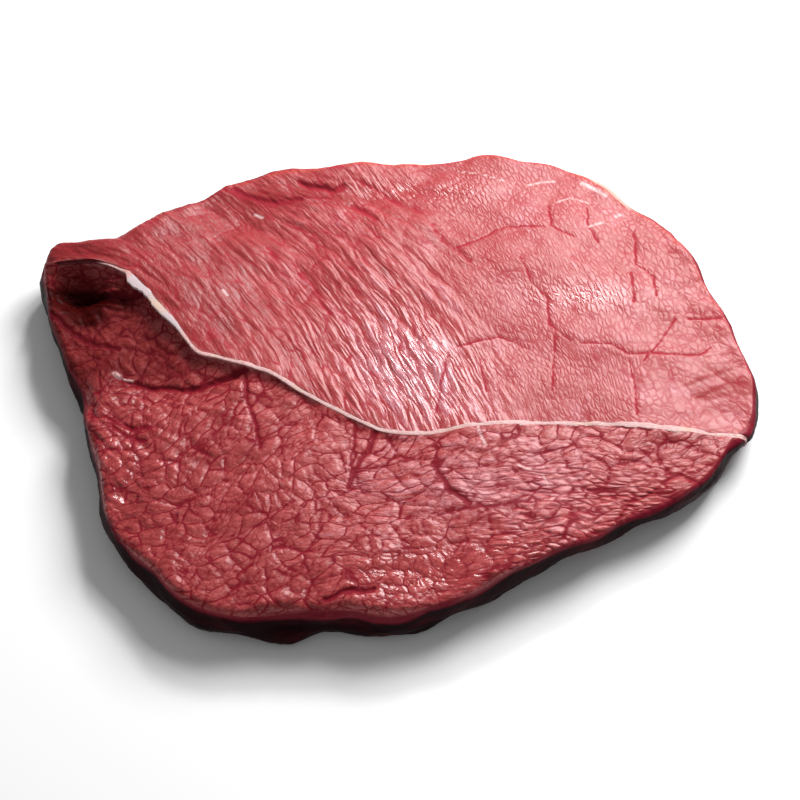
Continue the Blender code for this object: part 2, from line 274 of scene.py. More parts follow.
def muscle_plan(side, rows, columns, times):
    """The plan of one muscle's cut face, a grid from the seam (row 0) to the rim, and the outline's turns.

    The turns run anticlockwise along the grid's other three sides, from the last place of row 0 to its first.
    """
    path = seam_path(side * SEAM_HALF_WIDTH)[:: int(side)]
    start, end = end_turn(path, side > 0), end_turn(path, side < 0)
    inside = path[np.argmin(np.linalg.norm(path - at_turn(spine, end), axis=1)) + 4 :]
    inside = inside[: np.argmin(np.linalg.norm(inside - at_turn(spine, start), axis=1)) - 4]
    path = np.vstack([at_turn(spine, end), inside, at_turn(spine, start)])
    end += end < start

    def sides(rows, columns):
        turns = np.linspace(start, end, columns + 2 * rows + 1)
        chain = at_turn(spine, turns)
        rim_side = chain[rows : rows + columns + 1][::-1]
        return turns, (spaced(path, columns + 1), rim_side, chain[rows + columns :][::-1], chain[: rows + 1])

    coarse = evened_grid(patch(*sides(rows, columns)[1]), PLAN_PASSES)
    plan = refined(coarse, times)
    turns, (seam_side, rim_side, left, right) = sides(rows * times, columns * times)
    plan[0], plan[-1], plan[:, 0], plan[:, -1] = seam_side, rim_side, left, right
    return evened_grid(plan, FINE_PLAN_PASSES), turns


def cast_down(place):
    return skin.ray_cast((*place, 60.0), (0, 0, -1))[0][2]


def face_heights(plan, side):
    """The height of the cut face over each place of a muscle, clear of the step at the seam."""
    away, _ = from_seam(*(plan - ZERO).T)
    _, slope = seam_at(plan[:, 0] - ZERO[0])
    reach = SEAM_STEP_REACH + (side > 0) * LOBE_REACH * smooth_step(ZERO[0] - plan[:, 0], *LOBE_STARTS)
    push = side * np.maximum(reach - side * away, 0)
    square = np.column_stack([-slope, np.ones(len(slope))]) / np.hypot(1, slope)[:, None]
    return np.array([cast_down(place) for place in plan + square * push[:, None]])


def evened_heights(heights, passes):
    """Heights on a grid, evened out between their neighbours. The grid's border keeps its own."""
    for _ in range(passes):
        around = heights[:-2, 1:-1] + heights[2:, 1:-1] + heights[1:-1, :-2] + heights[1:-1, 2:]
        heights[1:-1, 1:-1] = (heights[1:-1, 1:-1] + around) / 5
    return heights


def wall_fan():
    """Directions, as (out, up), that sweep over the rim and down the wall until they point straight down."""
    over = [(out, HALF_HEIGHT) for out in np.arange(RIM_STEP, WALL_REACH, RIM_STEP)]
    down = [(WALL_REACH, up) for up in np.arange(HALF_HEIGHT, -HALF_HEIGHT - 0.1, -WALL_STEP)]
    under = [(out, -HALF_HEIGHT) for out in UNDER_ROWS]
    return over + down + under


def wall_places(turns):
    """Rows of places down the side wall, one row for each direction of the fan."""
    inner = at_turn(spine, turns)
    out = at_turn(square, turns)
    rows = []
    for across, up in wall_fan():
        starts = np.column_stack([inner, np.full(len(inner), HALF_HEIGHT)])
        ways = np.column_stack([out * across, np.full(len(inner), up)])
        rows.append([skin.ray_cast(start, way)[0][:] for start, way in zip(starts, ways)])
    return np.array(rows)


def strip(upper, lower):
    """Quads between two rows of place numbers."""
    return np.column_stack([upper[:-1], lower[:-1], lower[1:], upper[1:]])


def muscle_shell(side, rows, columns, times):
    """The closed shell of one muscle: its places, its faces, the drop of each place and the row at the seam.

    The shell has a fine cut face and side wall, a coarse lower face and a coarse face inside the seam. The
    drop is how far a place of the wall is below the rim: less than 0 above it, and OFF_WALL off the wall.
    """
    plan, turns = muscle_plan(side, rows, columns, times)
    last_row, last_column = rows * times, columns * times
    heights = evened_heights(face_heights(plan.reshape(-1, 2), side).reshape(plan.shape[:2]), HEIGHT_PASSES)
    top = np.dstack([plan, heights]).reshape(-1, 3)
    number = np.arange(len(top)).reshape(plan.shape[:2])
    chain = np.concatenate([number[:, -1], number[-1, :-1][::-1], number[:-1, 0][::-1]])
    wall = wall_places(turns)
    wall_number = len(top) + np.arange(wall.shape[0] * wall.shape[1]).reshape(wall.shape[:2])
    depth = wall[RIM_ROW, :, 2] - wall[..., 2]
    depth[:RIM_ROW] = RIM_STEP * (np.arange(RIM_ROW) - RIM_ROW)[:, None]
    drop = np.concatenate([np.full(len(top), OFF_WALL), depth.ravel()])
    quads = np.stack([number[:-1, :-1], number[:-1, 1:], number[1:, 1:], number[1:, :-1]], -1).reshape(-1, 4)
    levels = [chain, *wall_number]
    quads = np.vstack([quads, *[strip(upper, lower) for upper, lower in zip(levels, levels[1:])]])
    places = np.vstack([top, wall.reshape(-1, 3)])
    fine = len(places)

    # The lower face keeps one place in so many of the upper one, and joins the wall's last row
    foot = wall_number[-1]
    low = plan[::times, ::times]
    under = np.full(low.shape[:2], -1)
    under[:, -1] = foot[: last_row + 1 : times]
    under[-1, :] = foot[last_row : last_row + last_column + 1 : times][::-1]
    under[:, 0] = foot[last_row + last_column :: times][::-1]
    new = under < 0
    under[new] = fine + np.arange(new.sum())
    places = np.vstack([places, np.column_stack([low[new], np.zeros(new.sum())])])
    on_foot = {int(n): k for k, n in enumerate(foot)}

    def between(a, b):
        """a, and the wall's own places after it on the way to b."""
        if a in on_foot and b in on_foot and abs(on_foot[a] - on_foot[b]) == times:
            step = 1 if on_foot[b] > on_foot[a] else -1
            return [int(foot[k]) for k in range(on_foot[a], on_foot[b], step)]
        return [a]

    coarse = []
    for r in range(rows):
        for c in range(columns):
            ring = [int(under[r, c]), int(under[r + 1, c]), int(under[r + 1, c + 1]), int(under[r, c + 1])]
            coarse.append([n for a, b in zip(ring, ring[1:] + ring[:1]) for n in between(a, b)])
    for c in range(columns):
        above = number[0, c * times : (c + 1) * times + 1][::-1]
        coarse.append([int(under[0, c]), int(under[0, c + 1]), *above.tolist()])
    coarse.append([int(level[0]) for level in reversed(levels)])
    coarse.append([int(level[-1]) for level in levels])
    drop = np.concatenate([drop, np.full(len(places) - fine, OFF_WALL)])
    return places, quads, coarse, drop, number[0]


def smoothed(places, quads, passes, held):
    """The places, evened between their neighbours on the quads. Held places keep their x and y."""
    pairs = np.vstack([quads[:, [0, 1]], quads[:, [1, 2]], quads[:, [2, 3]], quads[:, [3, 0]]])
    pairs = np.unique(np.sort(pairs, axis=1), axis=0)
    a, b = pairs.T
    count = np.bincount(np.concatenate([a, b]), minlength=len(places))
    free = count > 0
    for _ in range(passes):
        total = [
            np.bincount(np.concatenate([a, b]), np.concatenate([places[b, i], places[a, i]]), len(places))
            for i in range(3)
        ]
        moved = np.column_stack(total)[free] / count[free][:, None]
        still = held[free]
        moved[still, :2] = places[free][still, :2]
        places[free] = (places[free] + moved) / 2
    return places


def noise(places, size, seed):
    """Smooth noise from -1 to 1 at places in mm, with lumps of about the given size."""
    table = np.random.default_rng(seed).uniform(-1, 1, (64, 64, 64))
    at = places / size + 500.5
    cell = np.floor(at).astype(int)
    t = at - cell
    t = t * t * (3 - 2 * t)
    total = np.zeros(len(places))
    for corner in np.ndindex(2, 2, 2):
        share = np.prod(np.where(corner, t, 1 - t), axis=1)
        total += share * table[tuple(((cell + corner) % 64).T)]
    return total


def grain_angle(grain, x, y):
    """Which way the fibres of a muscle lie at places on its cut face, in radians."""
    turned, shares = np.zeros((2, *x.shape))
    for px, py, degrees in grain:
        near = 1 / (((x - px) ** 2 + (y - py) ** 2) / GRAIN_REACH**2 + 0.1) ** 2
        turned += near * math.radians(degrees)
        shares += near
    return turned / shares


# A raster over the cut face, on which streaks of fibre are drawn out along the grain
RASTER_PITCH = 0.4
RASTER_LOW = np.array([-132.0, -98.0])
RASTER_SIZE = (660, 520)


def on_raster(raster, x, y):
    """The raster's value at places, shared between the four pixels round each."""
    column = np.clip((x - RASTER_LOW[0]) / RASTER_PITCH, 0, RASTER_SIZE[0] - 1.001)
    row = np.clip((y - RASTER_LOW[1]) / RASTER_PITCH, 0, RASTER_SIZE[1] - 1.001)
    c, r = column.astype(int), row.astype(int)
    u, v = column - c, row - r
    low = raster[r, c] * (1 - u) + raster[r, c + 1] * u
    high = raster[r + 1, c] * (1 - u) + raster[r + 1, c + 1] * u
    return low * (1 - v) + high * v


def streaks(ways, width, length, seed):
    """A raster of streaks that follow the grain: even noise, averaged along the way the fibres lie."""
    soft = np.random.default_rng(seed).normal(size=RASTER_SIZE[::-1])
    for _ in range(round((width / RASTER_PITCH) ** 2)):
        soft = (np.roll(soft, 1, 0) + 2 * soft + np.roll(soft, -1, 0)) / 4
        soft = (np.roll(soft, 1, 1) + 2 * soft + np.roll(soft, -1, 1)) / 4
    total = soft.copy()
    pace = max(width, RASTER_PITCH)
    for way in (1, -1):
        at_x, at_y = raster_x.copy(), raster_y.copy()
        for _ in range(round(length / 2 / pace)):
            column = np.rint((at_x - RASTER_LOW[0]) / RASTER_PITCH).clip(0, RASTER_SIZE[0] - 1).astype(int)
            row = np.rint((at_y - RASTER_LOW[1]) / RASTER_PITCH).clip(0, RASTER_SIZE[1] - 1).astype(int)
            at_x = at_x + way * pace * ways[0][row, column]
            at_y = at_y + way * pace * ways[1][row, column]
            total += on_raster(soft, at_x, at_y)
    total -= total.mean()
    return total / total.std()


def coordinate(ways):
    """A raster that rises by 1 for every mm in the given directions, as nearly as one raster can."""
    mean = ways.mean(axis=(1, 2))
    rest = ways - mean[:, None, None]
    spread = np.gradient(rest[0], axis=1) + np.gradient(rest[1], axis=0)
    mirrored = np.block([[spread, spread[:, ::-1]], [spread[::-1], spread[::-1, ::-1]]])
    waves = [2 * np.cos(2 * math.pi * np.arange(size) / size) - 2 for size in mirrored.shape]
    strength = waves[0][:, None] + waves[1]
    strength[0, 0] = 1
    solved = np.fft.ifft2(np.fft.fft2(mirrored) / strength).real[: spread.shape[0], : spread.shape[1]]
    return solved * RASTER_PITCH + mean[0] * raster_x + mean[1] * raster_y


def fibre_rasters(grain, sway, seed):
    """What a muscle's fibres set on its cut face: their angle, streaks of three sizes, and two coordinates.

    The coordinates run along and across fibres that sway from side to side by the given angle.
    """
    angle = grain_angle(grain, raster_x, raster_y)
    along = np.array([np.cos(angle), np.sin(angle)])
    flat = np.column_stack([raster_x.ravel(), raster_y.ravel(), np.zeros(raster_x.size)])
    swayed = angle + sway * noise(flat, 9, seed + 3).reshape(raster_x.shape)
    return {
        "angle": angle,
        "fine": streaks(along, 0.4, 9, seed),
        "wrinkle": streaks(along, 0.8, 9, seed + 1),
        "broad": streaks(along, 1.2, 26, seed + 2),
        "along": coordinate(np.array([np.cos(swayed), np.sin(swayed)])),
        "across": coordinate(np.array([-np.sin(swayed), np.cos(swayed)])),
    }


def bundles(x, y, angle, length, width, seed):
    """How far each place is from the crease round its bundle, in mm, and a random number for the bundle."""
    pitch = math.sqrt(float(np.mean(length * width)))
    along = np.stack([np.cos(angle), np.sin(angle)])
    draws = np.random.default_rng(seed).uniform(0.1, 0.9, (97, 97, 2))
    cell = np.floor(x / pitch).astype(int), np.floor(y / pitch).astype(int)
    reach = math.ceil(float(np.max(length)) / pitch * 1.1) + 1

    def offset(i, j):
        shift = draws[(cell[0] + i) % 97, (cell[1] + j) % 97]
        dx = x - (cell[0] + i + shift[:, 0]) * pitch
        dy = y - (cell[1] + j + shift[:, 1]) * pitch
        return (dx * along[0] + dy * along[1]) / length, (dy * along[0] - dx * along[1]) / width, shift[:, 0]

    steps = [(i, j) for i in range(-reach, reach + 1) for j in range(-reach, reach + 1)]
    nearest = np.full(x.shape, 1e9)
    own_a, own_b, own_draw = np.zeros((3, len(x)))
    for i, j in steps:
        a, b, draw = offset(i, j)
        gap = a * a + b * b
        closer = gap < nearest
        nearest = np.where(closer, gap, nearest)
        own_a, own_b = np.where(closer, a, own_a), np.where(closer, b, own_b)
        own_draw = np.where(closer, draw, own_draw)
    edge = np.full(x.shape, 1e9)
    for i, j in steps:
        a, b, _ = offset(i, j)
        apart = np.hypot(a - own_a, b - own_b)
        other = apart > 1e-6
        apart = np.where(other, apart, 1)
        steep = np.hypot((a - own_a) / apart / length, (b - own_b) / apart / width)
        gap = (a * a + b * b - nearest) / (2 * apart * steep)
        edge = np.where(other, np.minimum(edge, gap), edge)
    return edge, own_draw


def from_line(x, y, line):
    """How far places are from a line of points."""
    nearest = np.full(x.shape, 1e9)
    for (ax, ay), (bx, by) in zip(line, line[1:]):
        t = np.clip(((x - ax) * (bx - ax) + (y - ay) * (by - ay)) / ((bx - ax) ** 2 + (by - ay) ** 2), 0, 1)
        nearest = np.minimum(nearest, np.hypot(x - ax - t * (bx - ax), y - ay - t * (by - ay)))
    return nearest


def spot(x, y, px, py, reach_x, reach_y, degrees=0):
    """A soft oval spot: 1 in its middle, falling to 0."""
    turn = math.radians(degrees)
    dx, dy = x - px, y - py
    a = (dx * math.cos(turn) + dy * math.sin(turn)) / reach_x
    b = (dy * math.cos(turn) - dx * math.sin(turn)) / reach_y
    return np.exp(-a * a - b * b)


def folds(x, y, lines):
    """How deep in mm the drawn folds are at places, and how much shade is painted in them."""
    deep, shade = np.zeros((2, len(x)))
    for line, width, depth in lines:
        near = np.exp(-((from_line(x, y, line) / width) ** 2))
        deep = np.maximum(deep, depth * near)
        shade = np.maximum(shade, min(1.5 * depth, 1) * near)
    return deep, shade


def far_relief(fibres, x, y):
    """The far muscle's cut face: its height above the plain slice, and what its material reads.

    That is how much a place lies in a crease or by a drawn crack, where shade is painted too, its streak of
    fibre, its bundle's number, how bluntly cut and how wet it is, its tone, which carries painted sheen and
    shade, and the shade painted at the lobe's end and in a trough by the far rim.
    """
    flat = np.column_stack([x, y, np.zeros(len(x))])
    warped_x = x + 1.2 * noise(flat, 6, 31) + 0.4 * noise(flat, 2, 32)
    warped_y = y + 1.2 * noise(flat, 6, 33) + 0.4 * noise(flat, 2, 34)
    angle = on_raster(fibres["angle"], x, y)
    blunt = smooth_step(x + 0.35 * y, 5, 60) * (1 - 0.5 * spot(x, y, *RIGHT_END))
    edge, draw = bundles(warped_x, warped_y, angle, 26 - 8 * blunt, 9 + 6 * blunt, 41)
    small, _ = bundles(warped_x, warped_y, angle + 0.5 * draw, 8 - 2 * blunt, 2.6 + 1.2 * blunt, 42)
    strength = (0.5 + 0.5 * noise(flat, 14, 35)) * (1 - 0.5 * blunt)
    long_crease = np.exp(-((edge / 0.55) ** 1.3)) * strength
    fine_crease = np.exp(-((small / 0.38) ** 1.3)) * (0.5 + 0.5 * noise(flat, 9, 36)) * (1 - 0.3 * blunt)
    bent_x, bent_y = x + 0.5 * noise(flat, 2.5, 38), y + 0.5 * noise(flat, 2.5, 39)
    from_crack = np.min([from_line(bent_x, bent_y, line) for line in FAR_CREASES], axis=0)
    from_crack += 0.15 * (1 - noise(flat, 6, 37))
    fold, fold_shade = folds(warped_x, warped_y, FAR_FOLDS)
    broad = on_raster(fibres["broad"], x, y)
    fine = on_raster(fibres["fine"], x, y)
    height = 0.10 * (1 - 0.8 * blunt) * broad + 0.04 * fine * (1 - 0.8 * blunt)
    height += 0.06 * on_raster(fibres["wrinkle"], x, y) * (1 - 0.8 * blunt)
    swell = 0.16 * np.minimum(edge / 4, 1) ** 0.6 + 0.06 * np.minimum(small / 1.2, 1) ** 0.7
    height += swell * (1 - 0.75 * blunt)
    height -= 0.14 * long_crease + 0.05 * fine_crease + 0.26 * np.exp(-((from_crack / 0.7) ** 2)) + fold
    # Painted sheen: the flesh here is painted paler, and it is made wetter
    sheen_spot = spot(x, y, *FAR_GLARE)
    wet = np.maximum(sheen_spot, 0.7 * spot(x, y, *RIM_GLARE))
    wet = np.maximum(wet, 0.8 * spot(x, y, *BLUNT_GLARE))
    stored = {
        # Creases and folds: darker partly in their own colour and partly as painted shade
        "crease_and_shade": np.clip(0.5 * long_crease + 0.25 * fine_crease + fold_shade, 0, 1),
        "mark": 1 - np.minimum(from_crack / 2.5, 1),
        "streak": 0.55 * fine + 0.45 * broad,
        "bundle": draw,
        "blunt": np.maximum(blunt, 0.5 * smooth_step(-x, 30, 75)),
        # Tone: paler at the blunt end, with painted sheen at the glare spot and painted shade towards the
        # left
        "pale_and_painted_light": 0.32 * sheen_spot + 0.08 * blunt - 0.19 * smooth_step(-x, 36, 62),
        # Painted shade at the lobe's left end and in a trough by the far rim
        "painted_shade": 0.15 * smooth_step(-x, 92, 112) + 0.35 * spot(x, y, *RIM_SHADE),
        "wet": wet,
    }
    return height, stored


def wall_relief(places):
    """The dark skin on a muscle's outside: slow lumps, and wrinkles that run along the wall."""
    long_way = places * np.array([0.35, 0.35, 1.0])
    return 0.35 * noise(places, 7, 71) + 0.22 * noise(long_way, 1.6, 72) + 0.10 * noise(places, 1.3, 73)


def add_muscle(name, side, rows, columns, times, relief, grain, sway):
    """One muscle as a mesh object, with what its material reads stored at its places."""
    places, quads, coarse, drop, seam_row = muscle_shell(side, rows, columns, times)
    held = np.zeros(len(places), bool)
    held[seam_row] = True
    places = smoothed(places, quads, SMOOTHING_PASSES, held)
    mesh = bpy.data.meshes.new(name)
    mesh.from_pydata(places.tolist(), [], quads.tolist() + coarse)
    normals = np.zeros(len(places) * 3, np.float32)
    mesh.vertices.foreach_get("normal", normals)
    normals = normals.reshape(-1, 3).astype(float)
    normals[seam_row] = (0, 0, 1)

    x, y = places[:, 0] - ZERO[0], places[:, 1] - ZERO[1]
    away, seam_x = from_seam(x, y)
    away = side * away
    top = np.where(drop < WALL_DROPS, 1, smooth_step(normals[:, 2], 0.25, 0.75))
    uneven = noise(places * (1, 1, 0), 9, 74)
    # The lip under the rim and the skin below it darken the wall, partly in their own colour, partly as
    # painted shade
    lip = smooth_step(drop + 0.5 * uneven, -0.8, 0.4)
    skin_and_shade = smooth_step(drop + 1.2 * uneven - 2.0 * spot(x, y, *BARE_RIM), -0.4, 2.8)
    skin_and_shade = skin_and_shade * (drop > WALL_DROPS)
    lower = smooth_step(places[:, 2], 0.3, 2.0)
    fibres = fibre_rasters(grain, sway, 80 + rows)
    height, stored = relief(fibres, x, y)
    by_seam = np.exp(-((away / 1.3) ** 2)) * top
    if side < 0:
        rise = np.interp(seam_x, seam_xs, far_edge - white_band(seam_xs))
        rise = rise - np.interp(seam_x, seam_xs, near_edge)
        reach = RISE_REACH + 0.6 * smooth_step(-seam_x, 65, 75)
        places[:, 2] += np.maximum(rise, 0) * np.exp(-((np.maximum(away, 0) / reach) ** 1.5)) * top
    fat = np.zeros(len(places))
    raised = np.zeros(len(places))
    for line, width, proud in FAT_MARKS:
        mark = np.exp(-((from_line(x, y, line) / width) ** 2 * 2)) * top
        fat = np.maximum(fat, mark)
        raised = np.maximum(raised, proud * mark)
    height = height * (1 - 0.7 * by_seam)
    push = height * top * (1 - fat) + raised + wall_relief(places) * (1 - top) * lower
    places += normals * (push * (normals[:, 2] > -0.9))[:, None]
    places[:, 2] = np.maximum(places[:, 2], 0)
    mesh.vertices.foreach_set("co", (places * MM).ravel())
    mesh.update()
    mesh.shade_smooth()
    mesh.set_sharp_from_angle(angle=math.radians(70))
    stored["crease_and_shade"] = stored["crease_and_shade"] * top
    stored["painted_shade"] = stored["painted_shade"] * (1 - 0.8 * fat)
    stored.update(lip=lip, skin=skin_and_shade, fat=fat, away=away)
    far_rim = (side > 0) * smooth_step(y, 30, 50)
    thin_edge = smooth_step(drop + 0.5 * uneven, -1.2, -0.5)
    thin_edge = thin_edge * (1 - smooth_step(drop + 1.2 * uneven, 0.3, 2.0))
    left_strip = smooth_step(x, -30, -22) * smooth_step(-x, -33, -27)
    right_strip = smooth_step(x, 52, 58) * smooth_step(-x, -88, -80)
    stored["silver"] = far_rim * thin_edge * (left_strip + right_strip)
    stored["warm"] = far_rim * smooth_step(drop + 1.5 * uneven, -5, -2.5) * smooth_step(x, -66, -58)
    for key, values in stored.items():
        mesh.attributes.new(key, "FLOAT", "POINT").data.foreach_set("value", values.astype(np.float32))
    lie = [on_raster(fibres["along"], x, y), on_raster(fibres["across"], x, y), places[:, 2]]
    lie = np.column_stack(lie).astype(np.float32)
    mesh.attributes.new("lie", "FLOAT_VECTOR", "POINT").data.foreach_set("vector", lie.ravel())
    muscle = bpy.data.objects.new(name, mesh)
    bpy.context.scene.collection.objects.link(muscle)
    return muscle


def white_band(x):
    return np.interp(x, BAND_PLACES, BAND_HEIGHTS)


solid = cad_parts["beef_slice"]
skin = BVHTree.FromPolygons(
    [tuple(v.co / MM) for v in solid.data.vertices], [tuple(p.vertices) for p in solid.data.polygons]
)
outline, square = slice_outline()
spine = outline - square * WALL_REACH
for right, onward in zip((False, True), END_WAYS):
    gaps = np.linalg.norm(spine - at_turn(spine, end_turn(seam_path(0), right)), axis=1)
    near_end = np.exp(-((gaps / END_REACH) ** 2))[:, None]
    square = square * (1 - near_end) + np.array(onward) * near_end
square /= np.linalg.norm(square, axis=1, keepdims=True)
raster_x, raster_y = np.meshgrid(
    *[RASTER_LOW[i] + RASTER_PITCH * np.arange(RASTER_SIZE[i]) for i in (0, 1)]
)

# The height of each muscle's edge along the seam
seam_xs = np.linspace(SEAM[0][0] + 7, SEAM[-1][0] - 7, 240)
seam_row = np.column_stack([seam_xs, seam_at(seam_xs)[0]]) + ZERO
far_edge = face_heights(seam_row + (0, 0.01), 1.0)
near_edge = face_heights(seam_row - (0, 0.01), -1.0)

# The coarse rows and columns of its face, how much finer the upper side is, and the fibres' sway in radians
FAR_GRID = 20, 50, 8
FAR_SWAY = 0.35
far_muscle = add_muscle("far_muscle", 1.0, *FAR_GRID, far_relief, FAR_GRAIN, FAR_SWAY)


class Strand:
    """A shader value. Sums on strands add Math nodes, and node() adds any other node to the same material."""

    def __init__(self, tree, socket=None):
        self.tree, self.socket = tree, socket

    def node(self, kind, settings=None, values=None, output=0):
        made = self.tree.nodes.new(kind)
        for name, value in (settings or {}).items():
            setattr(made, name, value)
        for name, value in (values or {}).items():
            if isinstance(value, Strand):
                self.tree.links.new(value.socket, made.inputs[name])
            else:
                made.inputs[name].default_value = value
        return Strand(self.tree, made.outputs[output])

    def sum(self, operation, first, second):
        return self.node("ShaderNodeMath", {"operation": operation}, {0: first, 1: second})

    def __add__(self, other):
        return self.sum("ADD", self, other)

    __radd__ = __add__

    def __sub__(self, other):
        return self.sum("SUBTRACT", self, other)

    def __rsub__(self, other):
        return self.sum("SUBTRACT", other, self)

    def __mul__(self, other):
        return self.sum("MULTIPLY", self, other)

    __rmul__ = __mul__

    def between(self, low, high):
        """0 below low, 1 above high and smooth in between."""
        values = {"Value": self, "From Min": low, "From Max": high}
        return self.node("ShaderNodeMapRange", {"interpolation_type": "SMOOTHSTEP"}, values)

    def mix(self, first, second):
        """From the first colour to the second as this goes from 0 to 1."""
        return self.node("ShaderNodeMix", {"data_type": "RGBA"}, {0: self, 6: first, 7: second}, output=2)

    def stored(self, key):
        """What the mesh holds under a name."""
        return self.node("ShaderNodeAttribute", {"attribute_name": key}, output=2)

    def in_units(self, sizes):
        """Places in units of the given sizes in mm."""
        place = self.node("ShaderNodeTexCoord", output=3)
        values = {"Vector": place, "Scale": tuple(size * MM for size in sizes)}
        return self.node("ShaderNodeMapping", {"vector_type": "TEXTURE"}, values)

    def by_fibre(self, length, width, sway):
        """Places along and across the fibres, in units of a length and width in mm, swayed by this noise."""
        lie = self.node("ShaderNodeAttribute", {"attribute_name": "lie"}, output=1)
        values = {0: self, 1: (sway,) * 3, 2: lie}
        swayed = self.node("ShaderNodeVectorMath", {"operation": "MULTIPLY_ADD"}, values)
        values = {"Vector": swayed, "Scale": (length, width, width)}
        return self.node("ShaderNodeMapping", {"vector_type": "TEXTURE"}, values)

    def noise(self, place, detail=2.0, roughness=0.5):
        values = {"Vector": place, "Scale": 1.0, "Detail": detail, "Roughness": roughness}
        return self.node("ShaderNodeTexNoise", {}, values)

    def cracks(self, place):
        """Distance to the edge of cells of about one unit."""
        values = {"Vector": place, "Scale": 1.0, "Randomness": 1.0}
        return self.node("ShaderNodeTexVoronoi", {"feature": "DISTANCE_TO_EDGE"}, values)


def new_material(name):
    """A material with its shader, and a strand to start sums from."""
    material = bpy.data.materials.new(name)
    material.use_nodes = True
    return material, material.node_tree.nodes["Principled BSDF"], Strand(material.node_tree)


